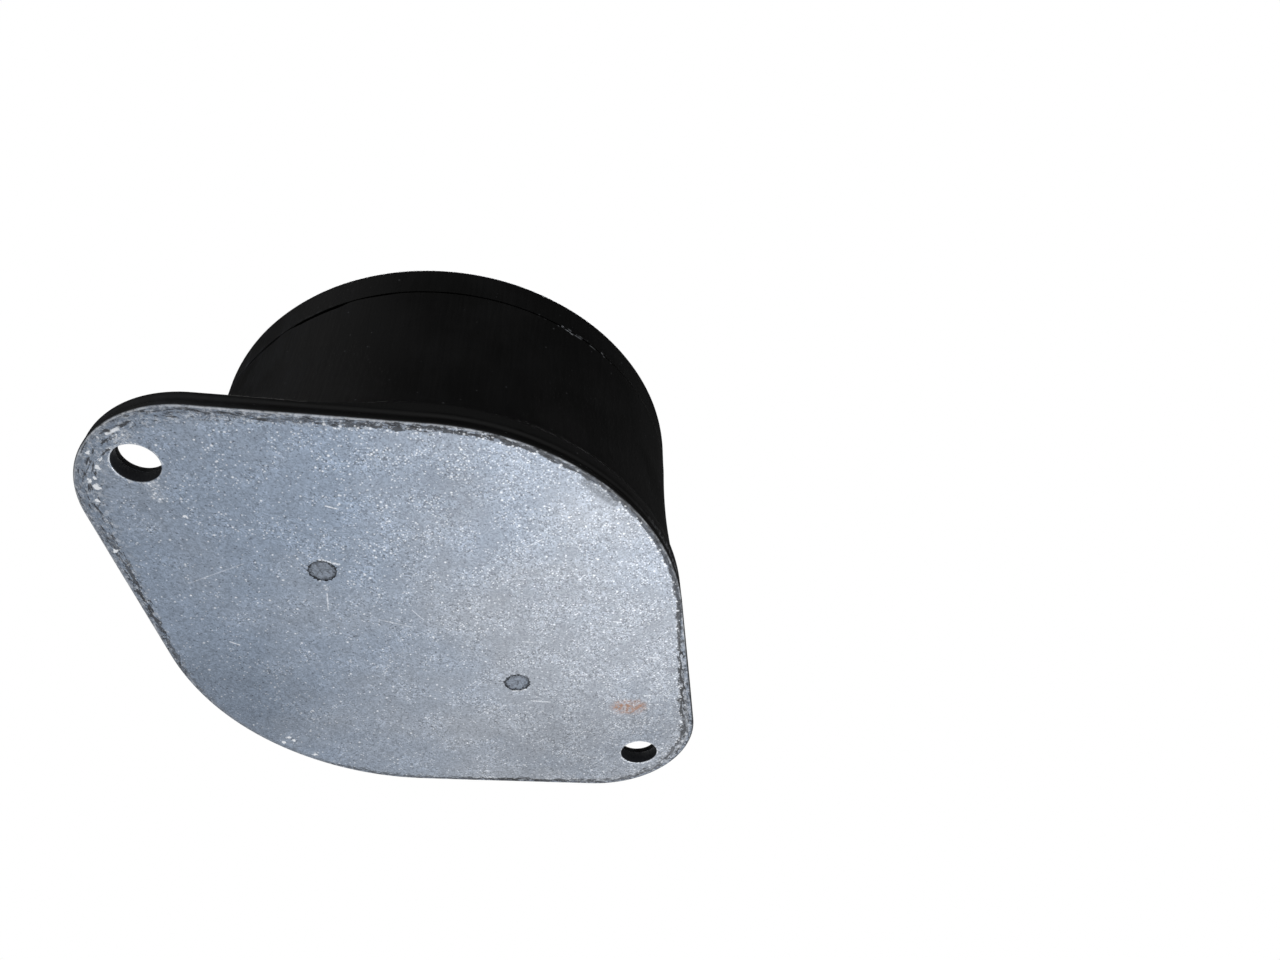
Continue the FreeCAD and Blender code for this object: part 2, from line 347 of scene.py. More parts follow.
def drum_section(angle):
    """The drum's side from its sweep to the pocket for the disc. Only the seam differs round the drum."""
    size = sizes()
    foot_top = PLATE_BACK + size.back_skin + size.foot_sweep
    turn = math.degrees(angle) % 360
    start, middle, end, sag = SEAM_SAG
    sag *= smooth_step((turn - start) / (middle - start)) * smooth_step((end - turn) / (end - middle))
    seam = BODY_HIGH.z - size.seam_drop - sag * MM
    gape = sum(
        wider * smooth_step((turn - low) / 5) * smooth_step((high - turn) / 4) for low, high, wider in GAPES)
    side = arc_through((size.foot_radius, foot_top), (size.waist_radius, size.waist_height),
                       (size.seam_radius, seam - HALF_SEAM - gape * MM), 25)[1:]
    nearly_deep = size.seam_radius - size.seam_depth * 0.9
    groove = [(nearly_deep, seam - 0.06 * MM),
              (size.seam_radius - size.seam_depth, seam),
              (nearly_deep, seam + HALF_SEAM * 0.9),
              (size.seam_radius, seam + HALF_SEAM)]
    rim_low = BODY_HIGH.z - size.rim_round
    flare = [(size.seam_radius + (size.rim_radius - size.seam_radius) * i / 6,
              seam + HALF_SEAM + (rim_low - seam - HALF_SEAM) * i / 6) for i in range(1, 6)]
    rim = arc(size.rim_radius - size.rim_round, rim_low, size.rim_round, 0, QUARTER, 9)
    disc = DISC_HIGH.x
    pocket = [(disc + 0.9 * MM, BODY_HIGH.z), (disc, BODY_HIGH.z), (disc, DISC_LOW.z), (0, DISC_LOW.z)]
    return side + groove + flare + rim + pocket


def moulding_section(angle):
    """The moulding's whole section at one angle, from the axis at the plate's back to that at the disc."""
    edge = edge_section(angle)
    return [(0, PLATE_BACK)] + edge + back_section(edge[-1][0], 26) + drum_section(angle)


def add_piece(name, bm, material, node, sharp_degrees=32):
    """Makes a finished piece of a bmesh, which rides on the damper and stands for one node."""
    mesh = bpy.data.meshes.new(name)
    bm.to_mesh(mesh)
    bm.free()
    return add_mesh(name, mesh, material, node, sharp_degrees)


def add_mesh(name, mesh, material, node, sharp_degrees=32):
    """Makes a finished piece of a mesh. Its level faces are shaded flat, so that they stay plain."""
    mesh.shade_smooth()
    mesh.set_sharp_from_angle(angle=math.radians(sharp_degrees))
    for face in mesh.polygons:
        face.use_smooth = abs(face.normal.z) < 0.9999
    mesh.materials.clear()
    mesh.materials.append(material)
    piece = bpy.data.objects.new(name, mesh)
    bpy.context.scene.collection.objects.link(piece)
    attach(piece, "root")
    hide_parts(node)
    return piece


def spin_whole(bm, points, steps):
    """Turns a chain of points about the upright axis into a closed skin, a quarter at a time."""
    station = bm.verts.layers.int.new("station")
    chain = [bm.verts.new((r, 0, z)) for r, z in points]
    for index, vert in enumerate(chain):
        vert[station] = index
    edges = [bm.edges.new(pair) for pair in zip(chain, chain[1:])]
    bmesh.ops.spin(bm, geom=chain + edges, cent=(0, 0, 0), axis=(0, 0, 1), angle=QUARTER, steps=steps // 4,
                   use_merge=False)
    repeat_geometry(bm, 3, Matrix.Rotation(QUARTER, 3, "Z"), Vector((0, 0, 0)))
    bmesh.ops.remove_doubles(bm, verts=bm.verts, dist=WELD_DISTANCE)
    return station


def repeat_geometry(bm, times, turn, rise):
    """Adds copies of all of a bmesh, each turned and raised once more than the one before."""
    last = bm.verts[:] + bm.edges[:] + bm.faces[:]
    for _ in range(times):
        last = bmesh.ops.duplicate(bm, geom=last)["geom"]
        verts = [part for part in last if isinstance(part, bmesh.types.BMVert)]
        bmesh.ops.rotate(bm, verts=verts, cent=(0, 0, 0), matrix=turn)
        bmesh.ops.translate(bm, verts=verts, vec=rise)


def close_and_face_out(bm):
    """Merges doubled points and turns every face outwards."""
    bmesh.ops.remove_doubles(bm, verts=bm.verts, dist=WELD_DISTANCE)
    bmesh.ops.dissolve_degenerate(bm, edges=bm.edges, dist=WELD_DISTANCE)
    bmesh.ops.recalc_face_normals(bm, faces=bm.faces)


def upright(radius, low, high, x, segments=96):
    """A closed upright cylinder as a bmesh."""
    bm = bmesh.new()
    place = Matrix.Translation((x, 0, (low + high) / 2))
    bmesh.ops.create_cone(bm, cap_ends=True, cap_tris=False, segments=segments, radius1=radius,
                          radius2=radius, depth=high - low, matrix=place)
    return bm


def cut_or_join(mesh, tools, operation):
    """Cuts closed meshes out of one mesh, or joins them to it, and returns the result."""
    work = bpy.data.objects.new("work", mesh)
    bpy.context.scene.collection.objects.link(work)
    helpers = []
    for bm in tools:
        tool_mesh = bpy.data.meshes.new("tool")
        bm.to_mesh(tool_mesh)
        bm.free()
        helper = bpy.data.objects.new("tool", tool_mesh)
        bpy.context.scene.collection.objects.link(helper)
        helpers.append(helper)
        step = work.modifiers.new("step", "BOOLEAN")
        step.operation = operation
        step.solver = "EXACT"
        step.object = helper
    graph = bpy.context.evaluated_depsgraph_get()
    result = bpy.data.meshes.new_from_object(work.evaluated_get(graph))
    for helper in helpers + [work]:
        bpy.data.objects.remove(helper)
    return result


class Shader:
    """One material and the short calls that add its nodes. All lengths in it are in millimetres."""

    def __init__(self, name):
        self.material = bpy.data.materials.new(name)
        self.material.use_nodes = True
        self.tree = self.material.node_tree
        self.tree.nodes.clear()
        self.output = self.tree.nodes.new("ShaderNodeOutputMaterial")
        coordinates = self.tree.nodes.new("ShaderNodeTexCoord")
        self.place = self.vector("SCALE", coordinates.outputs["Object"], scale=1 / MM)
        self.x, self.y, self.z = self.parts(self.place)
        self.flat = self.combine(self.x, self.y, 0.0)

    def feed(self, socket, value):
        if isinstance(value, bpy.types.NodeSocket):
            self.tree.links.new(value, socket)
        else:
            socket.default_value = value

    def colour_feed(self, socket, colour):
        self.feed(socket, colour if isinstance(colour, bpy.types.NodeSocket) else (*colour, 1.0))

    def parts(self, vector):
        node = self.tree.nodes.new("ShaderNodeSeparateXYZ")
        self.tree.links.new(vector, node.inputs[0])
        return node.outputs[0], node.outputs[1], node.outputs[2]

    def combine(self, x, y, z):
        node = self.tree.nodes.new("ShaderNodeCombineXYZ")
        for socket, value in zip(node.inputs, (x, y, z)):
            self.feed(socket, value)
        return node.outputs[0]

    def math(self, operation, *values, clamp=False):
        node = self.tree.nodes.new("ShaderNodeMath")
        node.operation = operation
        node.use_clamp = clamp
        for socket, value in zip(node.inputs, values):
            self.feed(socket, value)
        return node.outputs[0]

    def add(self, *values):
        return self.chain("ADD", values)

    def times(self, *values):
        return self.chain("MULTIPLY", values)

    def most(self, *values):
        return self.chain("MAXIMUM", values)

    def chain(self, operation, values):
        result = values[0]
        for value in values[1:]:
            result = self.math(operation, result, value)
        return result

    def rest(self, value):
        """What a share leaves of the whole."""
        return self.math("SUBTRACT", 1.0, value, clamp=True)

    def vector(self, operation, *values, scale=None):
        node = self.tree.nodes.new("ShaderNodeVectorMath")
        node.operation = operation
        for socket, value in zip(node.inputs, values):
            self.feed(socket, value)
        if scale is not None:
            self.feed(node.inputs["Scale"], scale)
        number = operation in ("DOT_PRODUCT", "DISTANCE", "LENGTH")
        return node.outputs["Value" if number else "Vector"]

    def shift(self, x, y, z=0.0):
        return self.vector("ADD", self.place, (x, y, z))

    def noise(self, scale, detail=2.0, roughness=0.5, distortion=0.0, at=None):
        node = self.tree.nodes.new("ShaderNodeTexNoise")
        self.feed(node.inputs["Vector"], self.place if at is None else at)
        node.inputs["Scale"].default_value = scale
        node.inputs["Detail"].default_value = detail
        node.inputs["Roughness"].default_value = roughness
        node.inputs["Distortion"].default_value = distortion
        return node.outputs["Fac"]

    def grains(self, cell, share, radius, shift=0.0, flat=True):
        """Small spots: a share of the cells of a random pattern hold one, each of its own size."""
        node = self.tree.nodes.new("ShaderNodeTexVoronoi")
        node.voronoi_dimensions = "2D" if flat else "3D"
        self.feed(node.inputs["Vector"], self.shift(shift, shift * 2, shift * 3))
        node.inputs["Scale"].default_value = 1 / cell
        colour = self.tree.nodes.new("ShaderNodeSeparateColor")
        self.tree.links.new(node.outputs["Color"], colour.inputs[0])
        chosen = self.math("LESS_THAN", colour.outputs[0], share)
        reach = self.times(self.add(colour.outputs[1], 0.45), radius / cell)
        return self.times(chosen, self.remap(node.outputs["Distance"], reach, self.times(reach, 0.3)))

    def flecks(self, cell, shift, warp):
        """A random number for each small patch of the surface, the patches warped out of square."""
        cloud = self.tree.nodes.new("ShaderNodeTexNoise")
        self.feed(cloud.inputs["Vector"], self.place)
        cloud.inputs["Scale"].default_value = 0.8 / cell
        warped = self.vector("SCALE", cloud.outputs["Color"], scale=warp * cell)
        node = self.tree.nodes.new("ShaderNodeTexVoronoi")
        node.voronoi_dimensions = "2D"
        self.feed(node.inputs["Vector"], self.vector("ADD", self.shift(shift, shift * 2), warped))
        node.inputs["Scale"].default_value = 1 / cell
        colour = self.tree.nodes.new("ShaderNodeSeparateColor")
        self.tree.links.new(node.outputs["Color"], colour.inputs[0])
        return colour.outputs[0]

    def remap(self, value, low, high, to_low=0.0, to_high=1.0, smooth=True):
        node = self.tree.nodes.new("ShaderNodeMapRange")
        node.interpolation_type = "SMOOTHSTEP" if smooth else "LINEAR"
        for name, number in (("Value", value), ("From Min", low), ("From Max", high), ("To Min", to_low),
                             ("To Max", to_high)):
            self.feed(node.inputs[name], number)
        return node.outputs[0]

    def profile(self, stops, low, high):
        """Three numbers that change along the plate's length, each given at a few places of it."""
        node = self.tree.nodes.new("ShaderNodeValToRGB")
        self.feed(node.inputs[0], self.remap(self.x, low, high, smooth=False))
        marks = node.color_ramp.elements
        while len(marks) < len(stops):
            marks.new(0.5)
        for mark, (x, values) in zip(marks, stops):
            mark.position = (x - low) / (high - low)
            mark.color = (*values, 1.0)
        colour = self.tree.nodes.new("ShaderNodeSeparateColor")
        self.tree.links.new(node.outputs[0], colour.inputs[0])
        return colour.outputs[0], colour.outputs[1], colour.outputs[2]

    def mix(self, share, first, second):
        """A number between two others."""
        return self.add(self.times(first, self.rest(share)), self.times(second, share))

    def blend(self, share, first, second):
        """A colour between two others."""
        node = self.tree.nodes.new("ShaderNodeMix")
        node.data_type = "RGBA"
        self.feed(node.inputs[0], share)
        self.colour_feed(node.inputs[6], first)
        self.colour_feed(node.inputs[7], second)
        return node.outputs[2]

    def tint(self, colour, factor):
        """A colour times a number."""
        node = self.tree.nodes.new("ShaderNodeMix")
        node.data_type = "RGBA"
        node.blend_type = "MULTIPLY"
        node.inputs[0].default_value = 1.0
        self.colour_feed(node.inputs[6], colour)
        self.feed(node.inputs[7], self.combine(factor, factor, factor))
        return node.outputs[2]

    def surface(self, colour, rough, metal, height=None, bump_distance=0.05, specular=0.5):
        node = self.tree.nodes.new("ShaderNodeBsdfPrincipled")
        self.feed(node.inputs["Base Color"], colour)
        self.feed(node.inputs["Roughness"], rough)
        self.feed(node.inputs["Metallic"], metal)
        node.inputs["Specular IOR Level"].default_value = specular
        if height is not None:
            bump = self.tree.nodes.new("ShaderNodeBump")
            bump.inputs["Strength"].default_value = 0.8
            bump.inputs["Distance"].default_value = bump_distance * MM
            self.feed(bump.inputs["Height"], height)
            self.tree.links.new(bump.outputs[0], node.inputs["Normal"])
        self.tree.links.new(node.outputs[0], self.output.inputs[0])
        return self.material

    def inside_outline(self):
        """How far a point lies inside the plate's outline."""
        size = sizes()
        lean = math.asin((MIDDLE_RADIUS - size.ear_radius) / size.ear_centre)
        across = self.math("ABSOLUTE", self.x)
        up = self.math("ABSOLUTE", self.y)
        centre = self.math("SUBTRACT", across, self.times(up, math.tan(lean)))
        centre = self.math("MINIMUM", self.most(centre, 0.0), size.ear_centre / MM)
        radius = self.math("SUBTRACT", MIDDLE_RADIUS / MM, self.times(centre, math.sin(lean)))
        away = self.vector("LENGTH", self.combine(self.math("SUBTRACT", across, centre), up, 0.0))
        return self.math("SUBTRACT", radius, away)

    def distance_from(self, x, y):
        """Distance from an upright line through a point of the plate."""
        return self.vector("DISTANCE", self.flat, (x, y, 0.0))

    def off(self, value, place):
        """How far a number is from another, either way."""
        return self.math("ABSOLUTE", self.math("SUBTRACT", value, place))

    def uneven(self, value, least, most):
        """A noise, which stays near its middle, spread evenly between two numbers."""
        return self.remap(value, 0.3, 0.7, least, most)

    def near_pair(self, x):
        """Distance from the nearer of two upright lines, one on each side of the plate's centre."""
        return self.math("MINIMUM", self.distance_from(-x, 0.0), self.distance_from(x, 0.0))

    def drum_line(self, unrolled, turn, low, to, high, half_width):
        """1 on a straight mark of the drum's side, from one number of degrees and height to another."""
        start = (math.radians(turn) * DRUM_REACH, low)
        end = (math.radians(to) * DRUM_REACH, high)
        return self.near_line(start, end, half_width, at=unrolled)

    def near_line(self, start, end, half_width, at=None):
        """1 on a straight mark, fading to 0 at its edge."""
        direction = Vector(end) - Vector(start)
        whole = direction.length
        direction.normalize()
        from_start = self.vector("SUBTRACT", self.flat if at is None else at, (*start, 0.0))
        along = self.vector("DOT_PRODUCT", from_start, (*direction, 0.0))
        along = self.math("MINIMUM", self.most(along, 0.0), whole)
        nearest = self.vector("SCALE", (*direction, 0.0), scale=along)
        return self.remap(self.vector("DISTANCE", from_start, nearest), half_width, half_width * 0.3)


def steel_colour(shader, warm_side):
    """Bare steel: bluish to greyish, with stains, a fine sandy grain, dark pits, and painted glints on its
    bright grains.
    """
    look = finish()
    broad = shader.noise(0.030, detail=4, roughness=0.55)
    drift = shader.noise(0.11, detail=3, roughness=0.6, at=shader.shift(50, 0))
    busy = shader.add(drift, shader.times(shader.y, -0.0022), shader.times(shader.x, 0.0008))
    density = shader.remap(busy, 0.40, 0.66)
    # For the plate, warm_side is a painted tint that follows how light falls across it; the noise adds real
    # stains
    stain = shader.add(warm_side, shader.remap(broad, 0.36, 0.64, -0.25, 0.25, smooth=False))
    colour = shader.blend(shader.remap(stain, 0.0, 1.0, smooth=False), look.steel, look.steel_warm)
    sandy = shader.remap(shader.flecks(0.37, 3.0, 0.6), 0.0, 1.0, -1.0, 1.0, smooth=False)
    coarse = shader.remap(shader.flecks(0.85, 9.0, 0.8), 0.0, 1.0, -1.0, 1.0, smooth=False)
    grain = shader.times(shader.add(shader.times(sandy, 0.24), shader.times(coarse, 0.08)),
                         shader.mix(density, 0.7, 1.6))
    colour = shader.tint(colour, shader.add(shader.uneven(drift, 0.94, 1.05), grain))
    pits = shader.grains(0.95, shader.mix(density, 0.12, 0.30), 0.26, 23.0)
    colour = shader.blend(shader.times(pits, 0.50), colour, look.residue)
    # Painted glints: bright grains where the steel catches the light
    small = shader.grains(0.72, shader.mix(density, 0.07, 0.36), 0.25, 11.0)
    large = shader.grains(1.70, shader.mix(density, 0.05, 0.22), 0.34, 31.0)
    painted_glints = shader.most(shader.times(small, 0.75), shader.times(large, 0.95))
    return shader.blend(painted_glints, colour, look.glint), shader.add(sandy, coarse)


# Wear along the plate's edge: place along its length in millimetres, then the reach of the crumbled zone as
# a share of WEAR_REACH, how far in the dark line lies as a share of LINE_REACH, and how dark the line is
UPPER_WEAR = (
    (-94, (0.75, 0.30, 0.1)), (-85, (0.55, 0.30, 0.4)), (-72, (0.34, 0.32, 0.5)), (-50, (0.26, 0.34, 0.9)),
    (-30, (0.17, 0.19, 0.9)), (-8, (0.12, 0.15, 0.9)), (12, (0.12, 0.15, 0.8)), (40, (0.12, 0.17, 0.9)),
    (54, (0.20, 0.30, 0.9)), (70, (0.30, 0.50, 1.0)), (90, (0.38, 0.56, 0.7)),
)
LOWER_WEAR = (
    (-94, (0.75, 0.35, 0.1)), (-82, (0.68, 0.40, 0.3)), (-70, (0.50, 0.42, 0.8)), (-56, (0.32, 0.36, 1.0)),
    (-42, (0.20, 0.28, 0.7)), (-20, (0.06, 0.22, 0.2)), (10, (0.06, 0.22, 0.2)), (22, (0.15, 0.25, 0.7)),
    (42, (0.12, 0.22, 0.7)), (64, (0.17, 0.26, 1.0)), (90, (0.42, 0.34, 0.6)),
)
WEAR_ENDS = (-95.0, 95.0)
WEAR_REACH = 12.0
LINE_REACH = 6.0


def edge_wear(shader, colour):
    """Crumbled dark and pale residue along the plate's edge, with a chain of dark flecks and a pale rim."""
    look = finish()
    depth = shader.inside_outline()
    side = shader.remap(shader.y, -3.0, 3.0)
    upper = shader.profile(UPPER_WEAR, *WEAR_ENDS)
    lower = shader.profile(LOWER_WEAR, *WEAR_ENDS)
    reach, line_depth, line_dark = [shader.mix(side, above, below) for above, below in zip(upper, lower)]
    line_depth = shader.times(line_depth, LINE_REACH)
    along = shader.times(shader.math("ARCTAN2", shader.y, shader.x), 58.0)
    lengthwise = shader.combine(along, shader.times(depth, 2.2), 0.0)
    wander = shader.remap(shader.noise(0.22, detail=4, roughness=0.7), 0.3, 0.7, -1.0, 1.0, smooth=False)
    wavy_depth = shader.add(depth, shader.times(wander, 0.9))
    zone = shader.remap(shader.math("DIVIDE", wavy_depth, shader.times(reach, WEAR_REACH)), 1.15, 0.55)
    smears = shader.noise(0.42, detail=5, roughness=0.72, distortion=0.3, at=lengthwise)
    crumbs = shader.remap(smears, shader.mix(zone, 0.64, 0.52), shader.mix(zone, 0.70, 0.60))
    crumbs = shader.times(crumbs, zone)
    pale = shader.remap(shader.noise(0.75, detail=4, roughness=0.75, at=shader.shift(19, 7)), 0.48, 0.62)
    colour = shader.tint(colour, shader.mix(shader.times(zone, 0.6), 1.0, 0.74))
    colour = shader.blend(shader.times(pale, zone, 0.42), colour, look.glint)
    colour = shader.blend(shader.times(crumbs, 0.90), colour, look.residue)

    rim = shader.remap(shader.off(depth, 0.45), 0.35, 0.10)
    rim_gate = shader.noise(0.5, detail=3, roughness=0.7, at=shader.shift(0, 23))
    rim_gate = shader.remap(rim_gate, 0.36, 0.56, 0.15, 0.6)
    rim_part = shader.mix(side, shader.remap(shader.x, 66.0, 52.0, 0.10, 1.0),
                          shader.remap(shader.x, -38.0, -54.0, 0.05, 0.60))
    colour = shader.blend(shader.times(rim, rim_gate, rim_part), colour, look.glint)

    centred = shader.math("SUBTRACT", depth, shader.add(line_depth, shader.times(wander, 0.6)))
    off_line = shader.math("ABSOLUTE", centred)
    shifted = shader.vector("ADD", lengthwise, (31.0, 5.0, 0.0))
    flecks = shader.noise(0.50, detail=4, roughness=0.7, at=shifted)
    steady = shader.times(shader.rest(side), shader.remap(shader.x, -34.0, -14.0),
                          shader.remap(shader.x, 62.0, 46.0))
    width = shader.mix(steady, shader.remap(flecks, 0.42, 0.64, 0.02, 1.9, smooth=False),
                       shader.remap(flecks, 0.36, 0.64, 0.60, 1.15, smooth=False))
    line = shader.times(shader.remap(off_line, width, shader.times(width, 0.6)), line_dark,
                        shader.mix(steady, 1.0, shader.remap(smears, 0.38, 0.54, 0.62, 1.0)))
    colour = shader.blend(shader.times(line, 0.92), colour, look.residue)

    outer_band = shader.times(shader.remap(shader.x, 56.0, 66.0), shader.remap(centred, 0.4, -0.6))
    band_flecks = shader.noise(1.1, detail=4, roughness=0.75, at=shader.shift(41, 11))
    band_flecks = shader.remap(band_flecks, 0.50, 0.60)
    colour = shader.blend(shader.times(outer_band, band_flecks, 0.62), colour, look.residue)
    outline_part = shader.mix(side, shader.remap(shader.x, 30.0, 62.0),
                              shader.remap(shader.x, -52.0, -36.0, 0.0, 0.8))
    outline = shader.times(shader.remap(depth, 0.75, 0.35), outline_part)
    colour = shader.blend(shader.times(outline, 0.80), colour, look.residue)

    chips = shader.times(shader.grains(1.0, 0.34, 0.42, 51.0), shader.remap(off_line, 1.8, 1.1),
                         shader.mix(side, 1.0, 0.4), shader.remap(centred, -0.2, 0.3),
                         shader.remap(line_dark, 0.5, 0.8))
    colour = shader.blend(shader.times(chips, 0.85), colour, look.glint)
    return colour, shader.most(crumbs, line, outline)


def plate_material():
    """Bare mottled steel with worn edges, scratches, chips and a spot of rust; the bolt holes' walls
    darkened.
    """
    shader = Shader("plate_steel")
    look = finish()
    # The steel turns greyer towards +x and -y, where light falls brighter across the plate: a painted tint
    # of light beside the random stains
    warm_side = shader.add(shader.x, shader.times(shader.y, -0.46))
    colour, grain = steel_colour(shader, shader.remap(warm_side, -46.0, 32.0, smooth=False))
    # Painted shade and painted highlight over broad areas of the steel
    for (x, y), reach, level in BROAD_PAINTED_LIGHT.values():
        away = shader.distance_from(x, y)
        colour = shader.tint(colour, shader.remap(away, reach, reach * 0.2, 1.0, level))
    colour, residue = edge_wear(shader, colour)

    ragged_ring = shader.uneven(shader.noise(1.1, detail=3, at=shader.shift(0, 31)), -0.45, 0.45)
    plug_rim = shader.remap(shader.add(shader.near_pair(sizes().plug_x / MM), ragged_ring), 3.70, 3.50)
    colour = shader.blend(shader.times(plug_rim, 0.90), colour, look.residue)
    ragged = shader.remap(shader.noise(1.8, detail=2), 0.38, 0.56, 0.25, 1.0)
    smear = shader.times(shader.near_line(*SMEAR), shader.remap(ragged, 0.25, 1.0, 0.75, 0.45))
    colour = shader.blend(smear, colour, look.smear)

    scratches = [shader.times(shader.near_line(start, end, width), bright)
                 for start, end, width, bright in SCRATCHES.values()]
    powder = shader.most(shader.grains(0.85, 0.65, 0.40, 37.0), shader.remap(ragged, 0.8, 1.0, 0.0, 0.35))
    patches = [shader.remap(shader.distance_from(x, y), reach, reach * 0.3)
               for (x, y), reach in POWDER.values()]
    uneven = shader.remap(shader.noise(0.9, detail=2, at=shader.shift(13, 0)), 0.35, 0.65, -0.3, 0.3)
    chips = [shader.remap(shader.add(shader.distance_from(x, y), uneven), reach, reach * 0.7)
             for (x, y), reach in CHIPS.values()]
    hole = shader.near_pair(BOLT_X / MM)
    # A pale band round each bolt hole's rim: worn edge, and a painted highlight
    worn_rim_and_highlight = shader.times(shader.remap(shader.add(hole, ragged_ring), 5.95, 5.65), 0.5)
    bright = shader.most(shader.times(shader.most(*scratches), ragged),
                         shader.times(shader.most(*patches), powder),
                         *chips, worn_rim_and_highlight, shader.near_line(*CUT_FLAKE))
    colour = shader.blend(bright, colour, look.glint)
    cut = shader.near_line(*CUT)
    colour = shader.blend(shader.times(cut, 0.9), colour, look.residue)

    rust_near = shader.near_line(*RUST)
    rust_spots = shader.noise(0.8, detail=4, roughness=0.7, at=shader.shift(7, 7))
    rust = shader.times(rust_near, shader.remap(rust_spots, 0.42, 0.60))
    rusted = shader.times(shader.most(rust, shader.times(rust_near, 0.25)), 0.78)
    colour = shader.blend(rusted, colour, look.rust)
    # The bolt holes' walls darkened
    wall = shader.times(shader.remap(hole, BOLT_RADIUS / MM + 0.06, BOLT_RADIUS / MM + 0.02),
                        shader.remap(shader.z, 0.12, 0.30))
    colour = shader.blend(wall, colour, look.residue)

    dark = shader.most(residue, rust, wall, cut)
    metal = shader.math("SUBTRACT", 0.75, shader.times(shader.most(dark, *chips), 0.70), clamp=True)
    rough = shader.add(shader.remap(grain, -2.0, 2.0, 0.42, 0.60, smooth=False), shader.times(dark, 0.12))
    height = shader.add(shader.times(grain, 0.25), shader.times(residue, 0.8))
    return shader.surface(colour, rough, metal, height, bump_distance=0.03)


def rubber_material():
    """Satin black rubber with a dusty film that thins to painted shade on one side, painted shade in the
    seam's groove, draw marks down the drum, and rubbed grey ends at the plate.
    """
    shader = Shader("rubber")
    look = finish()
    around = shader.math("ARCTAN2", shader.y, shader.x)
    reach = shader.vector("LENGTH", shader.flat)
    outward = shader.combine(shader.math("COSINE", around), shader.math("SINE", around), 0.0)
    drawn = shader.vector("ADD", shader.vector("SCALE", outward, scale=DRUM_REACH),
                          shader.combine(0.0, 0.0, shader.times(shader.z, 0.05)))
    unrolled = shader.combine(shader.times(around, DRUM_REACH), shader.z, 0.0)
    streaks = shader.noise(0.40, detail=5, roughness=0.65, at=drawn)
    fine_streaks = shader.noise(1.4, detail=3, roughness=0.6, at=drawn)
    clouds = shader.noise(0.040, detail=5, roughness=0.6)
    broken = shader.remap(shader.noise(0.9, detail=3, roughness=0.7), 0.46, 0.60)

    # The dust film thins toward one side of the drum: dust, with painted shade on that side
    dust_and_painted_shade = shader.remap(shader.vector("DOT_PRODUCT", outward, PAINTED_SHADE_SIDE), -0.2, 0.6, 1.0, 0.06)
    film = shader.times(shader.remap(clouds, 0.36, 0.66), shader.uneven(streaks, 0.30, 1.0), dust_and_painted_shade)
    colour = shader.blend(shader.times(film, 0.75), look.rubber, look.rubber_dust)
    powder = shader.grains(1.6, 0.10, 0.26, 5.0, flat=False)
    colour = shader.blend(shader.times(powder, 0.10), colour, look.glint)
    marks = [shader.drum_line(unrolled, turn, low, turn, high, half) for turn, low, high, half in DRAW_MARKS]
    faint = shader.remap(shader.noise(0.25, detail=3), 0.36, 0.52, 0.2, 1.0)
    mark = shader.times(shader.most(*marks), faint)
    scuffs = [shader.drum_line(unrolled, *ends, SCUFF_HALF_WIDTH) for ends in SCUFFS]
    scuff = shader.times(shader.most(*scuffs), broken)
    colour = shader.blend(shader.times(scuff, 0.12), colour, look.glint)

    from_seam = shader.off(shader.z, (BODY_HIGH.z - sizes().seam_drop) / MM)
    seam_reach = sizes().seam_radius / MM
    at_seam = shader.remap(from_seam, 1.0, 0.5)
    dashes = shader.remap(shader.noise(0.35, detail=3, at=shader.shift(0, 60)), 0.54, 0.62)
    front = shader.times(shader.remap(shader.y, -60.0, -66.0), shader.remap(shader.x, -24.0, -16.0),
                         shader.remap(shader.x, 8.0, 2.0), 0.22)
    elsewhere = shader.times(shader.remap(shader.y, -40.0, -20.0), 0.02)
    colour = shader.blend(shader.times(at_seam, dashes, shader.add(front, elsewhere)), colour, look.glint)
    # Painted shade in the seam's groove, and where the seam gapes wider: the colour darkened there
    groove = shader.remap(reach, seam_reach - 0.18, seam_reach - 0.30)
    gape = shader.times(shader.remap(from_seam, 3.2, 2.6),
                        shader.remap(reach, seam_reach - 0.45, seam_reach - 0.60))
    groove_painted_shade = shader.most(shader.times(at_seam, groove), gape)
    colour = shader.tint(colour, shader.remap(groove_painted_shade, 0.0, 1.0, 1.0, 0.2))
    nick = shader.drum_line(unrolled, *NICK)
    colour = shader.blend(shader.times(nick, broken, 0.50), colour, look.glint)

    grit = shader.noise(0.8, detail=5, roughness=0.75, at=shader.shift(9, 3))
    grit = shader.remap(grit, 0.40, 0.60)
    ear_back = shader.times(shader.remap(reach, 72.0, 76.0), shader.remap(shader.z, 4.4, 5.1),
                            shader.remap(shader.z, 9.0, 5.6))
    colour = shader.blend(shader.times(ear_back, grit, 0.55), colour, look.ear_dust)
    lip = shader.times(shader.remap(shader.z, 0.2, 0.8), shader.remap(shader.z, 5.2, 4.4),
                       shader.remap(reach, 50.0, 60.0))
    lip_dust = shader.times(lip, grit, shader.remap(clouds, 0.40, 0.60), dust_and_painted_shade, 0.40)
    colour = shader.blend(lip_dust, colour, look.rubber_dust)
    worn_lip = shader.times(shader.remap(shader.z, 3.0, 3.6), shader.remap(shader.z, 4.9, 4.3),
                            shader.remap(shader.x, 8.0, 30.0), shader.remap(shader.y, -2.0, -10.0),
                            shader.remap(reach, 66.0, 66.6))
    mottled = shader.noise(0.8, detail=4, roughness=0.75, at=shader.shift(3, 44))
    mottled = shader.remap(mottled, 0.44, 0.62)
    colour = shader.blend(shader.times(worn_lip, mottled, 0.16), colour, look.glint)

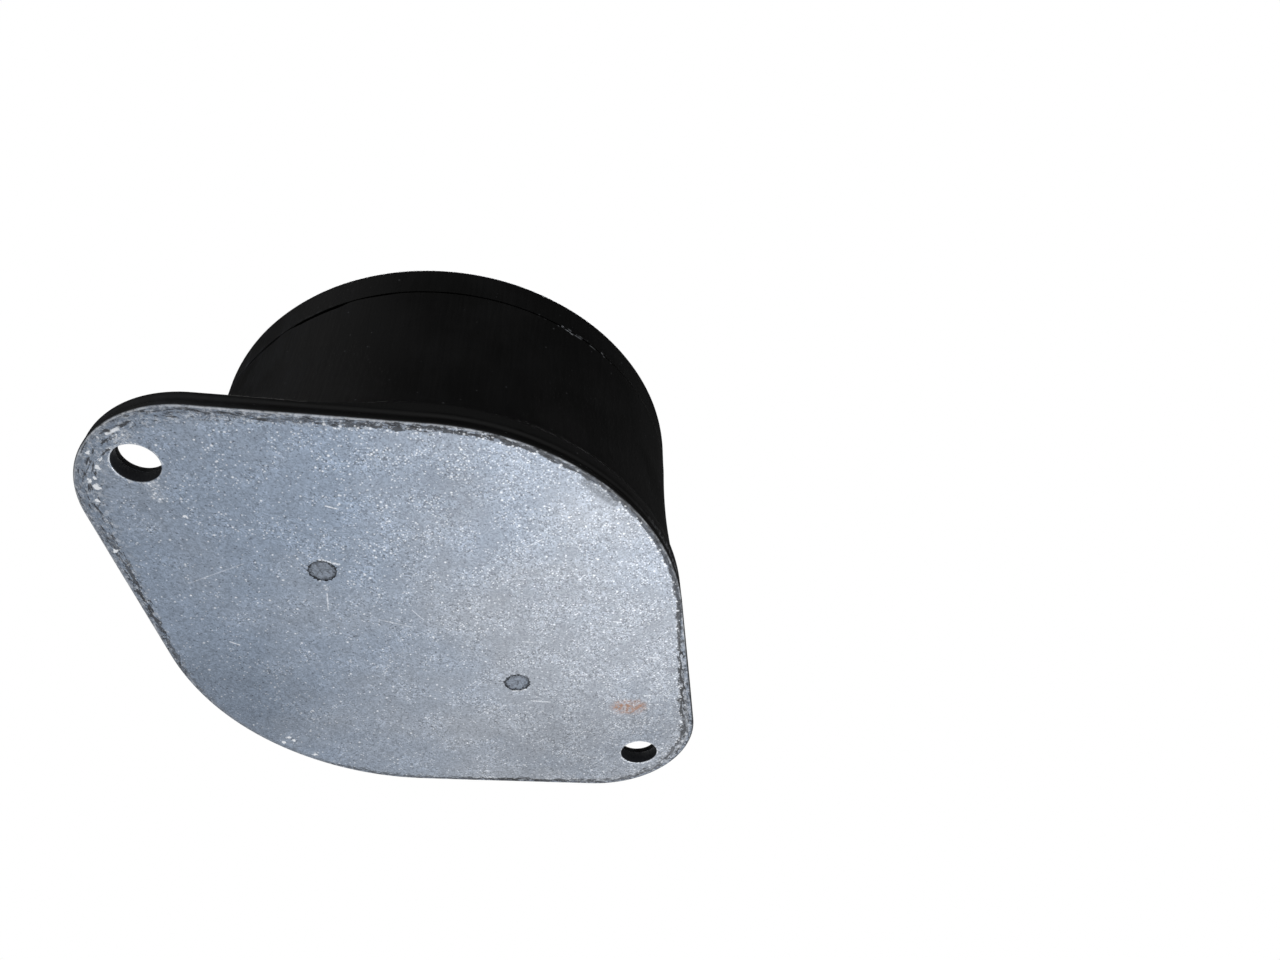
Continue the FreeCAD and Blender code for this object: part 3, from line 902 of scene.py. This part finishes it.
    face = shader.remap(shader.z, 0.36, 0.06)
    patchy = shader.remap(shader.flecks(0.42, 3.0, 0.6), 0.0, 1.0, 0.72, 1.2, smooth=False)
    rubbed, residue = edge_wear(shader, shader.tint(look.rubbed, patchy))
    on_plug = shader.remap(reach, 40.0, 38.0)
    crumble = shader.noise(0.9, detail=5, roughness=0.8)
    from_plug = shader.add(shader.near_pair(sizes().plug_x / MM), shader.uneven(crumble, -0.9, 0.9))
    plug_grit = shader.times(shader.remap(crumble, 0.38, 0.50, 0.45, 1.0),
                             shader.remap(from_plug, 2.7, 3.3, 1.0, 0.12))
    rubbed = shader.tint(rubbed, shader.mix(on_plug, 1.0, plug_grit))
    colour = shader.blend(face, colour, rubbed)
    metal = shader.times(face, shader.rest(residue), 0.55)

    ledge = shader.times(shader.remap(shader.z, 4.4, 5.0), shader.remap(shader.z, 10.0, 6.5))
    rough = shader.add(shader.uneven(clouds, 0.40, 0.56), shader.uneven(fine_streaks, -0.05, 0.05),
                       shader.times(scuff, 0.15), shader.times(groove_painted_shade, -0.25), shader.times(ledge, 0.30))
    skin = shader.noise(1.2, detail=3, roughness=0.6)
    drawing = shader.add(streaks, shader.times(fine_streaks, 0.4), shader.times(mark, -2.2))
    height = shader.add(shader.times(drawing, shader.remap(shader.z, 8.0, 14.0)), shader.times(skin, 0.30),
                        shader.times(residue, face, 0.6), shader.times(nick, -1.5))
    return shader.surface(colour, rough, metal, height, bump_distance=0.10, specular=0.30)


def disc_material():
    """Bare steel of the disc, with faint turning marks and rubber residue at its edge."""
    shader = Shader("disc_steel")
    look = finish()
    reach = shader.vector("LENGTH", shader.flat)
    rings = shader.noise(1.6, detail=3, at=shader.combine(reach, 0.0, 0.0))
    colour, grain = steel_colour(shader, 0.8)
    colour = shader.tint(colour, shader.uneven(rings, 0.92, 1.06))
    ragged = shader.uneven(shader.noise(0.5, detail=4, roughness=0.7), -1.2, 1.2)
    edge = shader.remap(shader.add(reach, ragged), 62.8, 64.6)
    weld = shader.remap(shader.add(reach, shader.times(ragged, 0.6)), 11.5, 9.0)
    dark = shader.most(edge, weld)
    colour = shader.blend(shader.times(dark, 0.75), colour, look.residue)
    metal = shader.math("SUBTRACT", 0.75, shader.times(dark, 0.6))
    rough = shader.add(shader.remap(grain, -2.0, 2.0, 0.40, 0.56, smooth=False), shader.times(dark, 0.1))
    height = shader.add(shader.times(grain, 0.25), shader.times(rings, 0.5))
    return shader.surface(colour, rough, metal, height, bump_distance=0.03)


def stud_material():
    """Dark oily rolled thread with painted shade in its roots, brighter on its crests, partly from wear and
    partly a painted highlight.
    """
    shader = Shader("stud_steel")
    look = finish()
    reach = shader.vector("LENGTH", shader.flat)
    wear = shader.noise(0.8, detail=4, roughness=0.65)
    # The crests lightened: partly wear, partly a painted highlight
    crest = shader.remap(reach, THREAD_RADIUS / MM - 0.30, THREAD_RADIUS / MM - 0.02)
    worn = shader.times(crest, shader.remap(wear, 0.35, 0.65, 0.45, 1.0))
    # Painted shade: the thread darker in its roots
    root = shader.remap(reach, THREAD_RADIUS / MM - 0.95, THREAD_RADIUS / MM - 0.55, 0.35, 1.0)
    colour = shader.tint(look.stud, shader.times(root, shader.remap(wear, 0.25, 0.75, 0.7, 1.3)))
    colour = shader.blend(shader.times(worn, 0.8), colour, look.crest)
    return shader.surface(colour, shader.uneven(wear, 0.26, 0.42), 1.0, wear, bump_distance=0.04)


class DAMPER_OT_plate(bpy.types.Operator):
    """Builds the steel mounting plate with its bolt holes and its two small filled holes"""
    bl_idname = "damper.plate"
    bl_label = "Mounting plate"

    def execute(self, context):
        size = sizes()
        bm = bmesh.new()
        bmesh.ops.create_circle(bm, segments=size.round_steps, radius=1.0)
        for vert in bm.verts:
            angle = math.atan2(vert.co.y, vert.co.x)
            reach = outline_reach(angle, EDGE_SKIN)
            vert.co = (reach * math.cos(angle), reach * math.sin(angle), 0)
        holes = [(side * x, radius) for x, radius in ((BOLT_X, BOLT_RADIUS), (size.plug_x, size.plug_radius))
                 for side in (-1, 1)]
        for x, radius in holes:
            bmesh.ops.create_circle(bm, segments=96, radius=radius, matrix=Matrix.Translation((x, 0, 0)))
        face = bmesh.ops.triangle_fill(bm, edges=bm.edges, use_beauty=True, normal=(0, 0, -1))["geom"]
        face = [part for part in face if isinstance(part, bmesh.types.BMFace)]
        back = bmesh.ops.extrude_face_region(bm, geom=face, use_keep_orig=True)["geom"]
        back_verts = [part for part in back if isinstance(part, bmesh.types.BMVert)]
        bmesh.ops.translate(bm, verts=back_verts, vec=(0, 0, PLATE_BACK))
        close_and_face_out(bm)
        rims = [edge for edge in bm.edges
                if edge.calc_face_angle(0) > 1 and any(self.at_bolt(vert) for vert in edge.verts)]
        bmesh.ops.bevel(bm, geom=rims, offset=0.2 * MM, offset_type="OFFSET", affect="EDGES", segments=2,
                        profile=0.5, material=-1)
        bmesh.ops.recalc_face_normals(bm, faces=bm.faces)
        add_piece("plate_steel", bm, plate_material(), "mounting_plate")
        return {"FINISHED"}

    @staticmethod
    def at_bolt(vert):
        away = math.hypot(abs(vert.co.x) - BOLT_X, vert.co.y)
        return abs(away - BOLT_RADIUS) < 0.1 * MM


class DAMPER_OT_moulding(bpy.types.Operator):
    """Builds the rubber moulding: drum, sweep, skin round the plate, and the plugs in its small holes"""
    bl_idname = "damper.moulding"
    bl_label = "Rubber moulding"

    def execute(self, context):
        size = sizes()
        bm = bmesh.new()
        station = spin_whole(bm, moulding_section(0.0), size.round_steps)
        sections = {}
        for vert in bm.verts:
            angle = math.atan2(vert.co.y, vert.co.x)
            key = round(angle, 6)
            if key not in sections:
                sections[key] = moulding_section(angle)
            reach, height = sections[key][vert[station]]
            vert.co = (reach * math.cos(angle), reach * math.sin(angle), height)
        close_and_face_out(bm)
        self.roughen(bm)
        mesh = bpy.data.meshes.new("moulding")
        bm.to_mesh(mesh)
        bm.free()
        back = PLATE_BACK + size.back_skin
        holes = [upright(BOLT_RADIUS, PLATE_BACK - MM, back + MM, side * BOLT_X) for side in (-1, 1)]
        mesh = cut_or_join(mesh, holes, "DIFFERENCE")
        plugs = [self.plug(side * size.plug_x) for side in (-1, 1)]
        mesh = cut_or_join(mesh, plugs, "UNION")
        add_mesh("rubber_moulding", mesh, rubber_material(), "rubber_body")
        return {"FINISHED"}

    @staticmethod
    def roughen(bm):
        """Slight unevenness of the drum's side and of the plate's rubber edge, always inwards."""
        for vert in bm.verts:
            flat = Vector((vert.co.x, vert.co.y, 0))
            if flat.length < sizes().waist_radius - 2 * MM or vert.co.z > BODY_HIGH.z - 0.1 * MM:
                continue
            if vert.co.z <= PLATE_BACK and outline_reach(math.atan2(flat.y, flat.x), 1.3 * MM) > flat.length:
                continue
            lump = noise.noise(vert.co * 45) * 0.5 + 0.5
            vert.co -= flat.normalized() * lump * 0.18 * MM

    @staticmethod
    def plug(x):
        """Rubber in one of the plate's small holes, its rough end just behind the steel's face."""
        size = sizes()
        bm = upright(size.plug_radius - 0.06 * MM, 0.10 * MM, PLATE_BACK + 0.3 * MM, x, segments=64)
        end = [face for face in bm.faces if face.normal.z < -0.5]
        for _ in range(5):
            bmesh.ops.inset_region(bm, faces=end, thickness=0.55 * MM, depth=0)
        for vert in bm.verts:
            if vert.co.z < MM:
                away = math.hypot(vert.co.x - x, vert.co.y)
                lump = noise.noise(vert.co * 900) * smooth_step((size.plug_radius - away) / MM)
                vert.co.z += (0.03 + 0.07 * lump) * MM
        return bm


class DAMPER_OT_disc(bpy.types.Operator):
    """Finishes the steel disc in the drum's far end"""
    bl_idname = "damper.disc"
    bl_label = "Steel disc"

    def execute(self, context):
        disc = frame["nodes"]["stud_disc"]
        disc.data.materials.clear()
        disc.data.materials.append(disc_material())
        return {"FINISHED"}


class DAMPER_OT_stud(bpy.types.Operator):
    """Builds the stud with its rolled thread, run-out and chamfered end"""
    bl_idname = "damper.stud"
    bl_label = "Threaded stud"

    def execute(self, context):
        size = sizes()
        pitch = size.thread_pitch
        root = THREAD_RADIUS - size.thread_depth
        crest = THREAD_RADIUS
        # One turn's section: how far out each point lies, and its share of the pitch
        foot = root + 0.05 * MM
        shoulder = crest - 0.07 * MM
        worn = crest - 0.09 * MM
        shape = ((root, 0.0), (foot, 0.09), (shoulder, 0.39), (crest, 0.43), (worn, 0.50), (crest, 0.57),
                 (shoulder, 0.61), (foot, 0.91), (root, 1.0))
        turns = math.ceil((STUD_HIGH.z - THREAD_START) / pitch) + 2
        steps = 72
        bm = bmesh.new()
        low = THREAD_START - pitch
        chain = [bm.verts.new((r, 0, low + share * pitch)) for r, share in shape]
        edges = [bm.edges.new(pair) for pair in zip(chain, chain[1:])]
        bmesh.ops.spin(bm, geom=chain + edges, cent=(0, 0, 0), axis=(0, 0, 1), dvec=(0, 0, pitch / steps),
                       angle=TURN, steps=steps, use_merge=False)
        repeat_geometry(bm, turns - 1, Matrix.Identity(3), Vector((0, 0, pitch)))
        bmesh.ops.remove_doubles(bm, verts=bm.verts, dist=1e-6)
        for height, outer in ((THREAD_START, False), (STUD_HIGH.z, True)):
            bmesh.ops.bisect_plane(bm, geom=bm.verts[:] + bm.edges[:] + bm.faces[:], plane_co=(0, 0, height),
                                   plane_no=(0, 0, 1), clear_outer=outer, clear_inner=not outer)
        self.trim(bm)
        self.cap(bm)
        add_piece("stud_thread", bm, stud_material(), "stud", sharp_degrees=24)
        return {"FINISHED"}

    @staticmethod
    def trim(bm):
        """Runs the thread out to the neck at its foot, and chamfers it at its tip."""
        size = sizes()
        for vert in bm.verts:
            reach = math.hypot(vert.co.x, vert.co.y)
            run_out = size.neck_radius + (vert.co.z - THREAD_START) * 0.9
            tip = THREAD_RADIUS - size.tip_chamfer + (STUD_HIGH.z - vert.co.z)
            wanted = min(reach, run_out, tip)
            vert.co.x *= wanted / reach
            vert.co.y *= wanted / reach

    @staticmethod
    def cap(bm):
        """Draws the neck down into the disc and closes both ends."""
        loops = [edge for edge in bm.edges if edge.is_boundary]
        foot = [edge for edge in loops if edge.verts[0].co.z < THREAD_START + MM]
        made = bmesh.ops.extrude_edge_only(bm, edges=foot)["geom"]
        lower = [part for part in made if isinstance(part, bmesh.types.BMVert)]
        for vert in lower:
            vert.co.z = STUD_LOW.z
        bmesh.ops.holes_fill(bm, edges=[edge for edge in bm.edges if edge.is_boundary], sides=0)
        close_and_face_out(bm)


def light(name, place, aim, width, power, colour=(1, 1, 1)):
    """A soft square lamp at one place, turned to another."""
    lamp = bpy.data.lights.new(name, "AREA")
    lamp.shape = "SQUARE"
    lamp.size = width
    lamp.energy = power
    lamp.color = colour
    holder = bpy.data.objects.new(name, lamp)
    bpy.context.scene.collection.objects.link(holder)
    holder.location = place
    holder.rotation_euler = (Vector(aim) - Vector(place)).to_track_quat("-Z", "Y").to_euler()


class DAMPER_OT_stage(bpy.types.Operator):
    """Builds the pale surround, the floor, the lamps and the camera"""
    bl_idname = "damper.stage"
    bl_label = "Stage"

    def execute(self, context):
        self.surround()
        self.floor()
        self.lamps()
        self.camera()
        context.scene.view_settings.view_transform = "Standard"
        return {"FINISHED"}

    @staticmethod
    def surround():
        """White to the camera. To a reflection it is grey, paler toward the lit side and dark overhead."""
        world = bpy.data.worlds.new("surround")
        bpy.context.scene.world = world
        world.use_nodes = True
        nodes, links = world.node_tree.nodes, world.node_tree.links

        def ramp(source, low, high, to_low, to_high):
            node = nodes.new("ShaderNodeMapRange")
            names = ("From Min", "From Max", "To Min", "To Max")
            for name, value in zip(names, (low, high, to_low, to_high)):
                node.inputs[name].default_value = value
            links.new(source, node.inputs["Value"])
            return node.outputs[0]

        toward = nodes.new("ShaderNodeTexCoord").outputs["Generated"]
        lit_side = nodes.new("ShaderNodeVectorMath")
        lit_side.operation = "DOT_PRODUCT"
        lit_side.inputs[1].default_value = LIT_SIDE
        links.new(toward, lit_side.inputs[0])
        height = nodes.new("ShaderNodeSeparateXYZ")
        links.new(toward, height.inputs[0])
        reflected = nodes.new("ShaderNodeMath")
        reflected.operation = "MULTIPLY"
        links.new(ramp(lit_side.outputs["Value"], 0.15, 0.90, 0.40, 0.65), reflected.inputs[0])
        links.new(ramp(height.outputs[2], 0.08, 0.45, 1.0, 0.04), reflected.inputs[1])

        path = nodes.new("ShaderNodeLightPath")
        strength = stage_settings().ambient
        for ray, level in (("Is Glossy Ray", reflected.outputs[0]), ("Is Transmission Ray", 1.0),
                           ("Is Camera Ray", 1.0)):
            choice = nodes.new("ShaderNodeMix")
            links.new(path.outputs[ray], choice.inputs[0])
            for socket, value in ((choice.inputs[2], strength), (choice.inputs[3], level)):
                if isinstance(value, bpy.types.NodeSocket):
                    links.new(value, socket)
                else:
                    socket.default_value = value
            strength = choice.outputs[0]
        links.new(strength, nodes["Background"].inputs["Strength"])
        nodes["Background"].inputs["Color"].default_value = (1, 1, 1, 1)

    @staticmethod
    def floor():
        """Pale floor under the damper that fades to white, seen from above and clear from below."""
        mesh = bpy.data.meshes.new("floor")
        bm = bmesh.new()
        just_below = Matrix.Translation((0, 0, -0.1 * MM))
        bmesh.ops.create_circle(bm, cap_ends=True, segments=64, radius=6.0, matrix=just_below)
        bm.to_mesh(mesh)
        bm.free()
        shader = Shader("floor")
        nodes, links = shader.tree.nodes, shader.tree.links
        pale = nodes.new("ShaderNodeBsdfDiffuse")
        pale.inputs["Color"].default_value = (*stage_settings().floor, 1)
        white = nodes.new("ShaderNodeEmission")
        clear = nodes.new("ShaderNodeBsdfTransparent")
        fade = shader.remap(shader.vector("LENGTH", shader.flat), 130.0, 520.0)
        top = nodes.new("ShaderNodeMixShader")
        links.new(fade, top.inputs[0])
        links.new(pale.outputs[0], top.inputs[1])
        links.new(white.outputs[0], top.inputs[2])
        both = nodes.new("ShaderNodeMixShader")
        links.new(nodes.new("ShaderNodeNewGeometry").outputs["Backfacing"], both.inputs[0])
        links.new(top.outputs[0], both.inputs[1])
        links.new(clear.outputs[0], both.inputs[2])
        links.new(both.outputs[0], shader.output.inputs[0])
        mesh.materials.append(shader.material)
        floor = bpy.data.objects.new("floor", mesh)
        bpy.context.scene.collection.objects.link(floor)
        floor.visible_diffuse = False
        floor.visible_glossy = False
        floor.visible_transmission = False
        floor.visible_shadow = False

    @staticmethod
    def lamps():
        """A broad key overhead, a faint fill, and a lamp below that lights the plate's face."""
        centre = (0, 0, 40 * MM)
        light("key", (0.18, 0.28, 1.15), centre, 0.7, 13)
        light("fill", (-0.90, 0.10, 0.80), centre, 0.8, 0.25)
        light("under", Vector(UNDER_LAMP) * 0.72, (0, 0, 0), 0.45, 3.3, (1.0, 0.98, 0.95))

    @staticmethod
    def camera():
        """The photograph's viewpoint: below the plate's face, to the left of the damper."""
        lens = bpy.data.cameras.new("camera")
        lens.sensor_width = 36
        lens.lens = stage_settings().lens
        lens.clip_start = 0.01
        camera = bpy.data.objects.new("camera", lens)
        bpy.context.scene.collection.objects.link(camera)
        right = Vector(PICTURE_RIGHT)
        down = Vector(PICTURE_DOWN)
        forward = right.cross(down)
        turn = Matrix((right, -down, -forward)).transposed()
        place = Matrix.Translation([along * MM for along in CAMERA_PLACE])
        camera.matrix_world = place @ turn.to_4x4()
        bpy.context.scene.camera = camera


class DAMPER_PT_panel(bpy.types.Panel):
    """Lists the damper's settings and the steps that build it"""
    bl_idname = "DAMPER_PT_panel"
    bl_label = "Vibration damper"
    bl_space_type = "VIEW_3D"
    bl_region_type = "UI"
    bl_category = "Damper"

    def draw(self, context):
        for step in STEPS:
            self.layout.operator(step.bl_idname)
        for group in (context.scene.damper_sizes, context.scene.damper_finish, context.scene.damper_stage):
            box = self.layout.box()
            for name in group.__annotations__:
                box.prop(group, name)


STEPS = (DAMPER_OT_plate, DAMPER_OT_moulding, DAMPER_OT_disc, DAMPER_OT_stud, DAMPER_OT_stage)
GROUPS = {"damper_sizes": DamperSizes, "damper_finish": DamperFinish, "damper_stage": DamperStage}


def register():
    for kind in (*GROUPS.values(), *STEPS, DAMPER_PT_panel):
        bpy.utils.register_class(kind)
    for name, kind in GROUPS.items():
        setattr(bpy.types.Scene, name, PointerProperty(type=kind))


def unregister():
    for name in GROUPS:
        delattr(bpy.types.Scene, name)
    for kind in reversed((*GROUPS.values(), *STEPS, DAMPER_PT_panel)):
        bpy.utils.unregister_class(kind)


def main():
    register()
    bpy.ops.damper.plate()
    bpy.ops.damper.moulding()
    bpy.ops.damper.disc()
    bpy.ops.damper.stud()
    bpy.ops.damper.stage()


if __name__ == "__main__":
    main()
